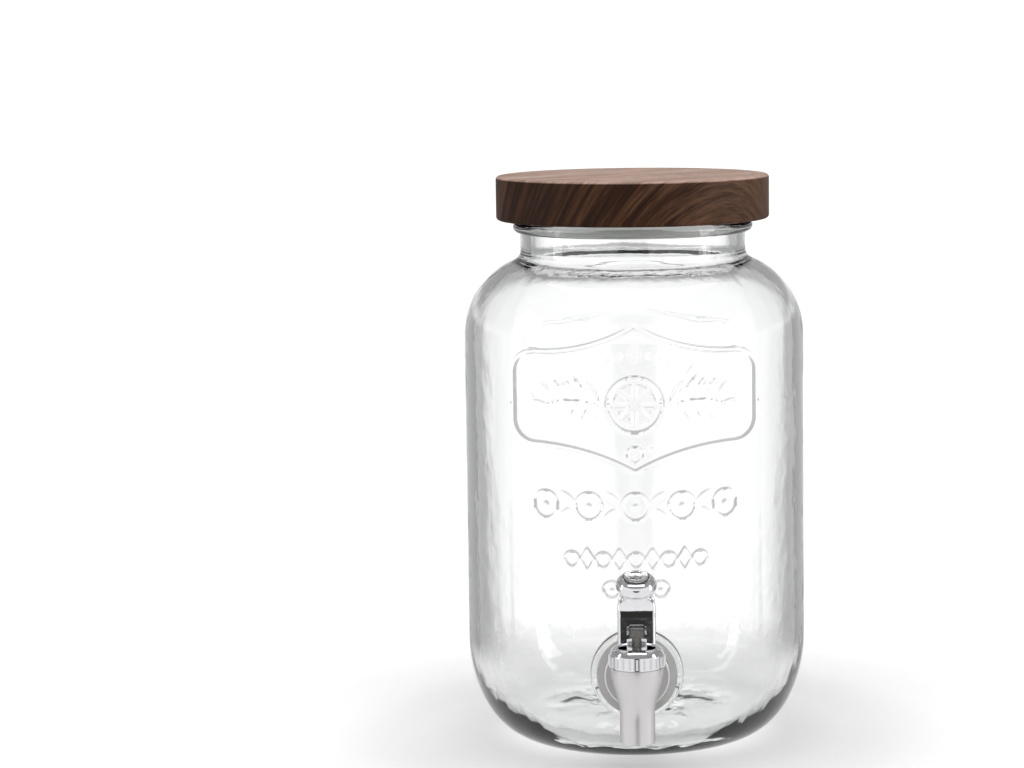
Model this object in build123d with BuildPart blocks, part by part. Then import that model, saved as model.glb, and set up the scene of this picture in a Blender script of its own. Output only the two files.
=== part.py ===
from build123d import *
import math
import os

# A four-litre glass drink dispenser: a pressed and blown jar, a turned wooden lid that lifts off,
# and a chrome-plated lever tap clamped through a hole near the bottom. Millimetres, +Z up.
# Origin: on the jar's axis, in the plane it stands on. The tap looks along -Y.

os.makedirs("parts", exist_ok=True)

# ---------------------------------------------------------------- driving dimensions: jar
body_radius = 80.0        # outside of the straight wall
shoulder_start = 191.0    # height where the wall ends and the shoulder begins
wall = 4.5
floor_thickness = 8.5
heel_reach = 30.0         # the heel is a quarter ellipse: this far in ...
heel_rise = 48.0          # ... and this far up
punt_margin = 8.0         # width of the ring that the jar stands on
punt_depth = 1.6
shoulder_radius = 38.0
neck_radius = 53.0
neck_fillet = 5.0
neck_height = 53.7        # from the start of the shoulder to the rim
bead_height = 5.6         # rolled bead around the rim
bead_proud = 3.4
rim_round = 1.0
pad_radius = 21.0         # flat pad that the tap is clamped to
pad_proud = 1.0           # how far the pad's face stands out of the straight wall
pad_round = 1.2
inner_pad_depth = 10.5    # glass between the outer and the inner seat of the tap
border_width = 2.2        # raised line around the shield on the front and the back
border_proud = 0.6
shield_height = 169.5     # centre of the shield above the floor
shield_half_width = 54.0
shield_half_lobe = 22.0
shield_half_tip = 34.0
shield_corner = 10.0

# ---------------------------------------------------------------- driving dimensions: lid
lid_radius = 64.0
lid_thickness = 20.5
lid_round = 1.6
lid_gap = 0.3             # lid's underside above the rim
plug_depth = 6.0
plug_clearance = 3.0      # between the wooden plug and the glass
groove_depth = 2.4
groove_height = 3.6
groove_drop = 1.2         # from the lid's underside to the groove
seal_clearance = 0.2      # between the seal's lips and the glass

# ---------------------------------------------------------------- driving dimensions: tap
tap_height = 44.9         # hole in the jar above the floor
tap_reach = 19.0          # pad face to the axis of the tap's barrel
shank_radius = 8.0        # over the crests of the thread
thread_pitch = 2.0
thread_depth = 0.9
hole_clearance = 0.6
inlet_radius = 4.2
flange_radius = 14.8
flange_thickness = 2.6
flange_round = 0.8
outer_washer_radius = 18.2
washer_thickness = 2.5
inner_washer_radius = 15.0
inner_pad_margin = 1.5
plate_washer_thickness = 1.2
nut_across_flats = 25.0
nut_thickness = 8.0
nut_clearance = 0.1
shank_tail = 3.0          # thread that stands past the nut
stub_gap = 0.2            # between the stub that carries the barrel and the bonnet ring

barrel_radius = 11.7      # under the bonnet ring
nozzle_radius = 7.8
nozzle_bottom = 18.7      # height of the outlet above the floor
nozzle_wall = 1.7
barrel_above = 7.7        # from the inlet's axis to the shoulder under the bonnet ring
seat_below = 4.4          # from the inlet's axis to the valve seat
chamber_radius = 8.0
seat_bore = 5.0
collar_height = 5.0       # threaded neck that carries the bonnet ring
collar_radius = 10.6
bonnet_gap = 0.5
bonnet_radius = 12.3
bonnet_band = 5.8
bonnet_rise = 3.1
bonnet_land = 9.0         # flat top that the lever's foot bears on
bonnet_plate = 2.5
bonnet_thread_gap = 0.15
rib_count = 24
rib_radius = 0.55

seal_ring_height = 0.8
guide_flange = 1.0
guide_hub = 4.0
guide_tail = 4.6
stem_radius = 2.1
stem_clearance = 0.06
stem_seal_section = 0.9
stem_seal_height = 1.8
stem_disc = 6.2
stem_disc_thickness = 1.0
stem_neck = 3.0
barb_radius = 4.2
barb_height = 2.4
cup_radius = 6.6
cup_height = 8.4
cup_base = 2.2
cup_clearance = 0.05
seat_gap = 0.1
spring_wire = 0.45
spring_radius = 5.2
spring_turns = 4.5
spring_gap = 0.05

# ---------------------------------------------------------------- driving dimensions: lever
lever_width = 16.8
lever_depth = 15.0
foot_gap = 0.3            # lever's foot above the bonnet ring
pin_above_foot = 5.9
tilt_range = 45.0         # degrees that the lever comes forward
valve_lift = 2.6          # how far the stem has risen by then
slot_width = 8.8
slot_above_pin = 7.2
head_width = 7.0
head_depth = 5.0
head_height = 3.6
head_clearance = 0.45
pin_radius = 1.2
pin_clearance = 0.05
pin_inset = 0.4
lever_rise = 17.3         # pin to the top of the squared part
lever_round = 1.4
arch_round = 4.6
lever_neck = 6.9
lever_brow = 9.0          # height over which the front curves back at the top ...
lever_lean = 2.0          # ... by this much
knob_radius = 9.1
knob_base = 1.4           # from the squared part up to the knob
knob_height = 7.8
knob_tilt = 18.0          # degrees that the knob leans towards the user
dish_radius = 5.2
dish_depth = 0.9
dish_lip = 0.8

# ---------------------------------------------------------------- places worked out from them
rim_height = shoulder_start + neck_height
mouth_radius = neck_radius - wall
foot_radius = body_radius - heel_reach
pad_face = body_radius + pad_proud
inner_seat = pad_face - inner_pad_depth
lid_base = rim_height + lid_gap
plug_radius = mouth_radius - plug_clearance
barrel_y = -(pad_face + tap_reach)
shoulder_height = tap_height + barrel_above
seat_height = tap_height - seat_below
collar_top = shoulder_height + collar_height
band_bottom = shoulder_height + bonnet_gap
band_top = band_bottom + bonnet_band
bonnet_top = band_top + bonnet_rise
ceiling = bonnet_top - bonnet_plate
guide_base = ceiling - guide_flange
flange_back = pad_face + washer_thickness
shank_end = (inner_seat - washer_thickness - plate_washer_thickness - nut_thickness - shank_tail)
cup_bottom = seat_height + seat_gap
cup_top = cup_bottom + cup_height
disc_top = cup_top + stem_disc_thickness
pin_height = bonnet_top + foot_gap + pin_above_foot
cam_rate = valve_lift / math.radians(tilt_range)
lever_top = pin_height + lever_rise

barrel_plane = Plane(origin=(0, barrel_y, 0), x_dir=(1, 0, 0), z_dir=(0, -1, 0))
barrel_axis = Axis((0, barrel_y, 0), (0, 0, 1))
tap_axis = Axis((0, 0, tap_height), (0, -1, 0))
tap_plane = Plane(origin=(0, 0, tap_height), x_dir=(1, 0, 0), z_dir=(0, -1, 0))


def write(part, name):
    """Label a finished piece and write it to its own STEP file."""
    part.label = name
    export_step(part, f"parts/{name}.step")


# ================================================================ glass jar
# Outside profile: standing ring, heel, wall, shoulder, neck and the rolled bead at the rim.
shoulder_turn = math.degrees(math.acos((neck_radius - body_radius + shoulder_radius) / shoulder_radius))
shoulder_end = shoulder_start + shoulder_radius * math.sin(math.radians(shoulder_turn))
punt_radius = foot_radius - punt_margin
bead_base = rim_height - bead_height

with BuildPart() as jar_outside:
    with BuildSketch(Plane.XZ) as jar_profile:
        with BuildLine():
            Polyline((0, punt_depth), (punt_radius - punt_depth, punt_depth), (punt_radius, 0), (foot_radius, 0))
            EllipticalCenterArc((foot_radius, heel_rise), heel_reach, heel_rise, 270, arc_size=90)
            Line((body_radius, heel_rise), (body_radius, shoulder_start))
            CenterArc((body_radius - shoulder_radius, shoulder_start), shoulder_radius, 0, shoulder_turn)
            Line((neck_radius, shoulder_end), (neck_radius, bead_base))
            ThreePointArc(
                (neck_radius, bead_base),
                (neck_radius + bead_proud, rim_height - bead_height / 2),
                (neck_radius, rim_height),
            )
            Polyline((neck_radius, rim_height), (0, rim_height), (0, punt_depth))
        make_face()
        throat = jar_profile.vertices().sort_by_distance((neck_radius, 0, shoulder_end))[0]
        fillet(throat, neck_fillet)
    revolve(axis=Axis.Z)
    with BuildSketch(Plane.XZ.offset(pad_face)):
        with Locations((0, tap_height)):
            Circle(pad_radius)
    extrude(amount=-(pad_face - foot_radius))
    pad_edge = jar_outside.faces().sort_by(Axis.Y)[0].edges()
    fillet(pad_edge, pad_round)

# The raised shield: a bracket-shaped outline on the front and on the back of the wall. Each long
# edge is an arc that is level where it meets the corner and rises to a point in the middle.
tip_rise = shield_half_tip - shield_half_lobe
lobe_reach = shield_half_width - shield_corner
bracket_radius = (lobe_reach**2 + tip_rise**2) / (2 * tip_rise)
relief_radius = body_radius + border_proud
relief_shoulder = shoulder_radius + border_proud
shield_base = shield_height - shield_half_tip - border_width

with BuildSketch(Plane.XZ.offset(relief_radius + 1)) as shield:
    with BuildLine():
        for side in (1, -1):
            for end in (1, -1):
                tip = (0, shield_height + end * shield_half_tip)
                lobe = (side * lobe_reach, shield_height + end * shield_half_lobe)
                flank = (side * shield_half_width, shield_height + end * (shield_half_lobe - shield_corner))
                RadiusArc(tip, lobe, -side * end * bracket_radius)
                RadiusArc(lobe, flank, side * end * shield_corner)
            Line(
                (side * shield_half_width, shield_height - shield_half_lobe + shield_corner),
                (side * shield_half_width, shield_height + shield_half_lobe - shield_corner),
            )
    make_face()
    offset(amount=-border_width, kind=Kind.INTERSECTION, mode=Mode.SUBTRACT)

with BuildPart() as borders:
    with BuildSketch(Plane.XZ):
        with BuildLine():
            core = body_radius - shoulder_radius
            Polyline((core, shield_base), (relief_radius, shield_base), (relief_radius, shoulder_start))
            CenterArc((core, shoulder_start), relief_shoulder, 0, 60)
            Line(
                (core + relief_shoulder / 2, shoulder_start + relief_shoulder * math.sin(math.radians(60))),
                (core, shield_base),
            )
        make_face()
    revolve(axis=Axis.Z)
    extrude(shield.sketch, amount=-2 * (relief_radius + 1), mode=Mode.INTERSECT)

# Inside profile, the tap's inner seat and the hole.
mouth_turn = math.degrees(
    math.acos((mouth_radius - body_radius + shoulder_radius) / (shoulder_radius - wall))
)
mouth_base = shoulder_start + (shoulder_radius - wall) * math.sin(math.radians(mouth_turn))

with BuildPart() as glass_jar:
    add(jar_outside.part)
    add(borders.part)
    with BuildSketch(Plane.XZ):
        with BuildLine():
            Line((0, floor_thickness), (foot_radius, floor_thickness))
            EllipticalCenterArc(
                (foot_radius, heel_rise), heel_reach - wall, heel_rise - floor_thickness, 270, arc_size=90
            )
            Line((body_radius - wall, heel_rise), (body_radius - wall, shoulder_start))
            CenterArc(
                (body_radius - shoulder_radius, shoulder_start), shoulder_radius - wall, 0, mouth_turn
            )
            Polyline(
                (mouth_radius, mouth_base),
                (mouth_radius, rim_height),
                (0, rim_height),
                (0, floor_thickness),
            )
        make_face()
    revolve(axis=Axis.Z, mode=Mode.SUBTRACT)
    rim_edges = glass_jar.edges().filter_by(GeomType.CIRCLE).group_by(Axis.Z)[-1]
    fillet(rim_edges.sort_by(SortBy.RADIUS)[0], rim_round)
    inner_pad_radius = inner_washer_radius + inner_pad_margin
    with BuildSketch(Plane.XZ.offset(inner_seat)):
        with Locations((0, tap_height)):
            Circle(inner_pad_radius)
    extrude(amount=inner_pad_depth / 2)
    with BuildSketch(Plane.XZ.offset(inner_seat)):
        with Locations((0, tap_height)):
            Circle(inner_pad_radius)
    extrude(amount=-wall, mode=Mode.SUBTRACT)
    with BuildSketch(Plane.XZ.offset(pad_face)):
        with Locations((0, tap_height)):
            Circle(shank_radius + hole_clearance)
    extrude(amount=-2 * inner_pad_depth, mode=Mode.SUBTRACT)
write(glass_jar.part, "glass_jar")

# ================================================================ wooden lid and its seal
with BuildPart() as wooden_lid:
    with BuildSketch(Plane.XY.offset(lid_base)):
        Circle(lid_radius)
    extrude(amount=lid_thickness)
    fillet(wooden_lid.edges().filter_by(GeomType.CIRCLE), lid_round)
    with BuildSketch(Plane.XY.offset(lid_base - plug_depth)):
        Circle(plug_radius)
    extrude(amount=plug_depth)
    chamfer(wooden_lid.faces().sort_by(Axis.Z)[0].edges(), lid_round)
    with BuildSketch(Plane.XY.offset(lid_base - groove_drop)):
        Circle(plug_radius)
        Circle(plug_radius - groove_depth, mode=Mode.SUBTRACT)
    extrude(amount=-groove_height, mode=Mode.SUBTRACT)
write(wooden_lid.part, "wooden_lid")

# Silicone ring in the lid's groove: a flat band with two lips that brush the mouth.
lip_count = 2
lip_pitch = groove_height / lip_count
seal_inner = plug_radius - groove_depth
seal_band = plug_radius + 0.6
lip_radius = mouth_radius - seal_clearance
groove_top = lid_base - groove_drop

with BuildPart() as lid_seal:
    with BuildSketch(Plane.XZ):
        with BuildLine():
            lip_points = [(seal_inner, groove_top), (seal_band, groove_top)]
            for lip in range(lip_count):
                lip_top = groove_top - lip * lip_pitch
                lip_points.append((seal_band, lip_top - 0.5))
                lip_points.append((lip_radius, lip_top - 0.5))
                lip_points.append((lip_radius, lip_top - 0.9))
                lip_points.append((seal_band, lip_top - 1.5))
            lip_points.append((seal_band, groove_top - groove_height))
            lip_points.append((seal_inner, groove_top - groove_height))
            Polyline(*lip_points, close=True)
        make_face()
    revolve(axis=Axis.Z)
write(lid_seal.part, "lid_seal")

# ================================================================ tap body
# Barrel with the nozzle, then the neck, flange and threaded shank that pass through the jar.
wall_at_nozzle = nozzle_radius - nozzle_wall
thread_turns = int((flange_back - shank_end) / thread_pitch)
waist_height = seat_height - 9.5
stub_radius = min(shank_radius, barrel_above + bonnet_gap - stub_gap)

with BuildPart() as tap_body:
    with BuildSketch(barrel_plane):
        with BuildLine():
            Line((0, nozzle_bottom), (nozzle_radius, nozzle_bottom))
            Line((nozzle_radius, nozzle_bottom), (nozzle_radius, waist_height))
            Spline(
                (nozzle_radius, waist_height),
                (barrel_radius, shoulder_height),
                tangents=((0, 1), (0, 1)),
            )
            Polyline(
                (barrel_radius, shoulder_height),
                (collar_radius, shoulder_height),
                (collar_radius, collar_top),
                (0, collar_top),
                (0, nozzle_bottom),
            )
        make_face()
    revolve(axis=barrel_axis)
    with BuildSketch(Plane.XZ.offset(flange_back)):
        with Locations((0, tap_height)):
            Circle(flange_radius)
    extrude(amount=flange_thickness)
    flange_rim = tap_body.edges().filter_by(GeomType.CIRCLE).sort_by(SortBy.RADIUS)[-2:]
    fillet(flange_rim.sort_by(Axis.Y)[0], flange_round)
    with BuildSketch(tap_plane.offset(flange_back)):
        Circle(stub_radius)
    extrude(amount=tap_reach - washer_thickness)
    # the shank's thread, as rings of the same pitch and depth
    with BuildSketch(Plane.YZ):
        with BuildLine():
            crest = tap_height + shank_radius
            root = crest - thread_depth
            ring_points = [(-flange_back, tap_height), (-flange_back, crest)]
            for ring in range(thread_turns):
                ring_y = -flange_back + ring * thread_pitch
                ring_points.append((ring_y + 0.15 * thread_pitch, crest))
                ring_points.append((ring_y + 0.45 * thread_pitch, root))
                ring_points.append((ring_y + 0.65 * thread_pitch, root))
                ring_points.append((ring_y + 0.95 * thread_pitch, crest))
            ring_points.append((-shank_end - thread_depth, crest))
            ring_points.append((-shank_end, root))
            ring_points.append((-shank_end, tap_height))
            Polyline(*ring_points, close=True)
        make_face()
    revolve(axis=tap_axis)
    # valve chamber, seat, outlet and inlet
    with BuildSketch(Plane.XY.offset(collar_top)):
        with Locations((0, barrel_y)):
            Circle(chamber_radius)
    extrude(amount=-(collar_top - seat_height), mode=Mode.SUBTRACT)
    with BuildSketch(Plane.XY.offset(seat_height)):
        with Locations((0, barrel_y)):
            Circle(seat_bore)
    extrude(amount=-(seat_height - nozzle_bottom), mode=Mode.SUBTRACT)
    with BuildSketch(Plane.XY.offset(nozzle_bottom)):
        with Locations((0, barrel_y)):
            Circle(wall_at_nozzle)
    extrude(amount=waist_height - nozzle_bottom - 2, mode=Mode.SUBTRACT)
    with BuildSketch(tap_plane.offset(shank_end)):
        Circle(inlet_radius)
    extrude(amount=-barrel_y - shank_end, mode=Mode.SUBTRACT)
write(tap_body.part, "tap_body")


# ================================================================ washers and nut on the shank
def shank_washer(radius, bore, start, thickness):
    """Flat ring on the shank; start is its outer face's distance from the jar's axis."""
    with BuildPart() as washer:
        with BuildSketch(Plane.XZ.offset(start)):
            with Locations((0, tap_height)):
                Circle(radius)
                Circle(bore, mode=Mode.SUBTRACT)
        extrude(amount=-thickness)
    return washer.part


shank_bore = shank_radius + nut_clearance
write(shank_washer(outer_washer_radius, shank_bore, flange_back, washer_thickness), "outer_washer")
write(shank_washer(inner_washer_radius, shank_bore, inner_seat, washer_thickness), "inner_washer")
plate_start = inner_seat - washer_thickness
write(shank_washer(inner_washer_radius - 1, shank_bore, plate_start, plate_washer_thickness), "plate_washer")

nut_start = plate_start - plate_washer_thickness
with BuildPart() as shank_nut:
    with BuildSketch(Plane.XZ.offset(nut_start)):
        with Locations((0, tap_height)):
            RegularPolygon(nut_across_flats / 2, 6, major_radius=False)
            Circle(shank_bore, mode=Mode.SUBTRACT)
    extrude(amount=-nut_thickness)
    nut_corners = shank_nut.edges().filter_by(Axis.Y)
    fillet(nut_corners, 1.0)
write(shank_nut.part, "shank_nut")

# ================================================================ bonnet ring
with BuildPart() as bonnet_ring:
    with BuildSketch(barrel_plane):
        with BuildLine():
            inner = collar_radius + bonnet_thread_gap
            Polyline((inner, ceiling), (inner, band_bottom), (bonnet_radius, band_bottom))
            Line((bonnet_radius, band_bottom), (bonnet_radius, band_top))
            Spline(
                (bonnet_radius, band_top),
                (bonnet_land, bonnet_top),
                tangents=((-0.5, 1), (-1, 0.1)),
            )
            hub_bore = guide_hub + bonnet_thread_gap
            Polyline(
                (bonnet_land, bonnet_top), (hub_bore, bonnet_top), (hub_bore, ceiling), (inner, ceiling)
            )
        make_face()
    revolve(axis=barrel_axis)
    # grip ribs around the band
    with BuildSketch(Plane.XY.offset(band_bottom + rib_radius)):
        with Locations((0, barrel_y)):
            with PolarLocations(bonnet_radius, rib_count):
                Circle(rib_radius)
    extrude(amount=bonnet_band - 2 * rib_radius)
write(bonnet_ring.part, "bonnet_ring")

# ================================================================ seals, guide and spring
with BuildPart() as bonnet_seal:
    with BuildSketch(Plane.XY.offset(collar_top)):
        with Locations((0, barrel_y)):
            Circle(collar_radius)
            Circle(chamber_radius, mode=Mode.SUBTRACT)
    extrude(amount=guide_base - collar_top)
write(bonnet_seal.part, "bonnet_seal")

guide_bottom = guide_base - guide_tail
guide_bore = stem_radius + stem_clearance
groove_base = guide_bottom + 1.0
with BuildPart() as stem_guide:
    with BuildSketch(barrel_plane):
        with BuildLine():
            Polyline(
                (guide_bore, guide_bottom),
                (guide_hub, guide_bottom),
                (guide_hub, guide_base),
                (collar_radius, guide_base),
                (collar_radius, ceiling),
                (guide_hub, ceiling),
                (guide_hub, bonnet_top),
                (guide_bore, bonnet_top),
                (guide_bore, groove_base + stem_seal_height),
                (guide_bore + stem_seal_section, groove_base + stem_seal_height),
                (guide_bore + stem_seal_section, groove_base),
                (guide_bore, groove_base),
                close=True,
            )
        make_face()
    revolve(axis=barrel_axis)
write(stem_guide.part, "stem_guide")

with BuildPart() as stem_seal:
    with BuildSketch(barrel_plane):
        with Locations((guide_bore + stem_seal_section / 2, groove_base + stem_seal_height / 2)):
            Ellipse(stem_seal_section / 2, stem_seal_height / 2)
    revolve(axis=barrel_axis)
write(stem_seal.part, "stem_seal")

spring_bottom = disc_top + spring_gap + spring_wire
spring_top = guide_base - spring_gap - spring_wire
with BuildPart() as return_spring:
    with BuildLine() as coil:
        Helix(
            pitch=(spring_top - spring_bottom) / spring_turns,
            height=spring_top - spring_bottom,
            radius=spring_radius,
            center=(0, barrel_y, spring_bottom),
        )
    with BuildSketch(Plane(origin=coil.line @ 0, z_dir=coil.line % 0)):
        Circle(spring_wire)
    sweep(path=coil.line, is_frenet=True)
write(return_spring.part, "return_spring")

# ================================================================ valve stem, cup and pivot pin
barb_base = cup_bottom + cup_base + cup_clearance
barb_top = barb_base + barb_height
head_base = pin_height - head_height / 2
pin_plane = Plane.YZ
with BuildPart() as valve_stem:
    with BuildSketch(barrel_plane):
        with BuildLine():
            Polyline(
                (0, barb_base),
                (barb_radius, barb_base),
                (barb_radius, barb_top),
                (stem_neck, barb_top),
                (stem_neck, cup_top),
                (stem_disc, cup_top),
                (stem_disc, disc_top),
                (stem_radius, disc_top),
                (stem_radius, head_base),
                (0, head_base),
                close=True,
            )
        make_face()
    revolve(axis=barrel_axis)
    with BuildSketch(Plane.XY.offset(head_base)):
        with Locations((0, barrel_y)):
            RectangleRounded(head_width, head_depth, 1.2)
    extrude(amount=head_height)
    head_edges = valve_stem.faces().sort_by(Axis.Z)[-1].edges()
    fillet(head_edges, 0.9)
    with BuildSketch(pin_plane.offset(-head_width)):
        with Locations((barrel_y, pin_height)):
            Circle(pin_radius + pin_clearance)
    extrude(amount=2 * head_width, mode=Mode.SUBTRACT)
write(valve_stem.part, "valve_stem")

# Silicone cup on the stem's barb; its nose dips into the seat.
with BuildPart() as seat_cup:
    with BuildSketch(barrel_plane):
        with BuildLine():
            nose = seat_bore - 0.6
            barb_hole = barb_radius + cup_clearance
            neck_hole = stem_neck + cup_clearance
            Polyline(
                (0, cup_bottom - 1.2),
                (nose - 1.6, cup_bottom - 1.2),
                (nose, cup_bottom),
                (cup_radius, cup_bottom),
                (cup_radius, cup_bottom + 1.4),
                (cup_radius - 1.0, cup_bottom + 2.4),
                (cup_radius - 1.0, cup_top),
                (neck_hole, cup_top),
                (neck_hole, barb_top + cup_clearance),
                (barb_hole, barb_top + cup_clearance),
                (barb_hole, cup_bottom + cup_base),
                (0, cup_bottom + cup_base),
                close=True,
            )
        make_face()
    revolve(axis=barrel_axis)
write(seat_cup.part, "seat_cup")

pin_half = lever_width / 2 - pin_inset
with BuildPart() as pivot_pin:
    with BuildSketch(pin_plane.offset(-pin_half)):
        with Locations((barrel_y, pin_height)):
            Circle(pin_radius)
    extrude(amount=2 * pin_half)
    chamfer(pivot_pin.edges().filter_by(GeomType.CIRCLE), 0.25)
write(pivot_pin.part, "pivot_pin")


# ================================================================ lever
def cam_point(tilt):
    """Point of the foot that is lowest when the lever has come forward by tilt.

    The foot's reach below the pin grows evenly with the tilt, so its outline is
    reach * outward direction + rate of growth * the direction a quarter turn on.
    """
    angle = math.radians(tilt)
    reach = pin_above_foot + cam_rate * angle
    forward = reach * math.sin(angle) + cam_rate * math.cos(angle)
    up = -reach * math.cos(angle) + cam_rate * math.sin(angle)
    return (barrel_y - forward, pin_height + up)


cam_steps = 5
cam_end = tilt_range + 6
cam = [cam_point(step * cam_end / cam_steps) for step in range(cam_steps + 1)]
lever_front = barrel_y - lever_depth / 2
lever_back = barrel_y + lever_depth / 2
foot_height = pin_height - pin_above_foot
brow_start = (lever_front, lever_top - lever_brow)
neck_base = lever_top - arch_round
knob_start = arch_round + knob_base
knob_top = knob_start + knob_height
lean = math.radians(knob_tilt)
knob_way = Vector(0, -math.sin(lean), math.cos(lean))
knob_foot = Vector(0, barrel_y, neck_base)
knob_plane = Plane(origin=knob_foot, x_dir=(1, 0, 0), z_dir=(0, -math.cos(lean), -math.sin(lean)))

with BuildPart() as lever:
    # seen from the side: flat foot, rolling cam, front, top and back
    with BuildSketch(Plane.YZ.offset(-lever_width / 2)):
        with BuildLine():
            Spline(*cam)
            Line(cam[-1], brow_start)
            TangentArc(brow_start, (lever_front + lever_lean, lever_top), tangent=(0, 1))
            Line((lever_front + lever_lean, lever_top), (lever_back, lever_top))
            Line((lever_back, lever_top), (lever_back, foot_height))
            Line((lever_back, foot_height), cam[0])
        make_face()
    extrude(amount=lever_width)
    # seen from the front: a tombstone with rounded shoulders
    with BuildSketch(Plane.XZ.offset(-lever_back - lever_depth)):
        with BuildLine():
            half = lever_width / 2
            Line((-half, foot_height - 1), (half, foot_height - 1))
            Line((half, foot_height - 1), (half, lever_top - arch_round))
            RadiusArc((half, lever_top - arch_round), (half - arch_round, lever_top), -arch_round)
            Line((half - arch_round, lever_top), (arch_round - half, lever_top))
            RadiusArc((arch_round - half, lever_top), (-half, lever_top - arch_round), -arch_round)
            Line((-half, lever_top - arch_round), (-half, foot_height - 1))
        make_face()
    extrude(amount=4 * lever_depth, mode=Mode.INTERSECT)
    upper = lever.edges().filter_by(lambda e: e.center().Z > pin_height)
    fillet(upper, lever_round)
    # neck and knob, drawn from inside the squared part up along the leaning axis
    with BuildSketch(knob_plane):
        with BuildLine():
            Line((0, 0), (lever_neck, 0))
            Line((lever_neck, 0), (lever_neck, knob_start))
            ThreePointArc(
                (lever_neck, knob_start),
                (knob_radius, knob_start + knob_height * 0.45),
                (dish_radius + dish_lip, knob_top),
            )
            Polyline((dish_radius + dish_lip, knob_top), (0, knob_top), (0, 0))
        make_face()
    revolve(axis=Axis(knob_foot, knob_way))
    # thumb dish in the top of the knob
    dish_sphere = (dish_radius**2 + dish_depth**2) / (2 * dish_depth)
    with Locations(knob_foot + knob_way * (knob_top - dish_depth + dish_sphere)):
        Sphere(dish_sphere, mode=Mode.SUBTRACT)
    # slot for the stem's head, open at the front and below
    head_sweep = math.hypot(head_height / 2, head_depth / 2) + head_clearance
    with BuildSketch(Plane.XY.offset(foot_height - 1)):
        with Locations((0, barrel_y + head_sweep)):
            Rectangle(slot_width, 2 * lever_depth, align=(Align.CENTER, Align.MAX))
    extrude(amount=pin_height + slot_above_pin - foot_height + 1, mode=Mode.SUBTRACT)
    with BuildSketch(pin_plane.offset(-pin_half)):
        with Locations((barrel_y, pin_height)):
            Circle(pin_radius)
    extrude(amount=2 * pin_half, mode=Mode.SUBTRACT)
write(lever.part, "lever")

print(f"rim {rim_height:.1f}, lid top {lid_base + lid_thickness:.1f}, pin {pin_height:.2f}")
highest = lever.part.bounding_box().max.Z
print(f"bonnet top {bonnet_top:.2f}, knob top {highest:.1f}, cam rate {cam_rate:.4f} mm per radian")
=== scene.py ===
# %% Load the fixed frame
import math
import bpy
import numpy as np
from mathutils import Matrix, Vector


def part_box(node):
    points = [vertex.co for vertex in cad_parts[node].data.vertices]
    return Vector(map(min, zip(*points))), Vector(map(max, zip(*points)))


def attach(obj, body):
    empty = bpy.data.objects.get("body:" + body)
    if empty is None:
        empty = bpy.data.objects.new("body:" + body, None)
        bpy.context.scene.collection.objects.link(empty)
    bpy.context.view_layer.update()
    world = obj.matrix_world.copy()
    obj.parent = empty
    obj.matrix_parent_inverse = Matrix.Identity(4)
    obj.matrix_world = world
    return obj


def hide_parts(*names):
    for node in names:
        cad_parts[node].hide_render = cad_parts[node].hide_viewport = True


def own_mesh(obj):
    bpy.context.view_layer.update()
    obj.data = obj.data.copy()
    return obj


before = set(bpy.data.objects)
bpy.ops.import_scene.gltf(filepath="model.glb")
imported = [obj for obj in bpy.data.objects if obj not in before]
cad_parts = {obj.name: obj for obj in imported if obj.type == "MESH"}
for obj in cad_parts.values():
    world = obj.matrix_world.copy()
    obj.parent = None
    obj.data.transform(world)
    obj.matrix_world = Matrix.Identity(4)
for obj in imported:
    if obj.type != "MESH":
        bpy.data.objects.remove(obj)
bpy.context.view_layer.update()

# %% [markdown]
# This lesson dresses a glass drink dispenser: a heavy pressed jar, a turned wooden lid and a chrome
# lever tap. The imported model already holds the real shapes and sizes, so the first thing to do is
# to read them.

MM = 0.001
jar_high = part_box("glass_jar")[1]
lid_low, lid_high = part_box("wooden_lid")

# %% [markdown]
# Every new surface in this lesson is a grid: rows run along a profile and columns run around an
# axis. One small function turns such arrays into a mesh. A seam closes because the last column is
# joined to the first, and a row that shrinks to a point becomes one vertex with a fan of triangles.

# %% From arrays to a mesh
def mesh_object(name, points, faces, crease=32.0):
    """A mesh from points in millimetres. Edges sharper than crease degrees stay crisp."""
    mesh = bpy.data.meshes.new(name)
    mesh.from_pydata((np.asarray(points) * MM).tolist(), [], faces)
    mesh.validate()
    mesh.shade_smooth()
    mesh.set_sharp_from_angle(angle=math.radians(crease))
    piece = bpy.data.objects.new(name, mesh)
    bpy.context.scene.collection.objects.link(piece)
    print(f"{name}: {len(mesh.vertices)} vertices, {len(mesh.polygons)} faces")
    return piece


def ring_quads(numbers):
    """Quads between the rows of a grid of vertex numbers whose last column meets its first."""
    right = np.roll(numbers, -1, axis=1)
    return np.stack([numbers[:-1], right[:-1], right[1:], numbers[1:]], axis=-1)


def fan(ring, tip):
    """Triangles between a closed ring of vertex numbers and the vertex numbered tip."""
    return np.stack([ring, np.roll(ring, -1), np.full_like(ring, tip)], axis=-1)


def capped_faces(numbers, low, high):
    """The quads of a grid, and a fan at each end around the single vertices low and high."""
    fans = np.vstack([fan(numbers[0, ::-1], low), fan(numbers[-1], high)])
    return ring_quads(numbers).reshape(-1, 4).tolist() + fans.tolist()


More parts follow.
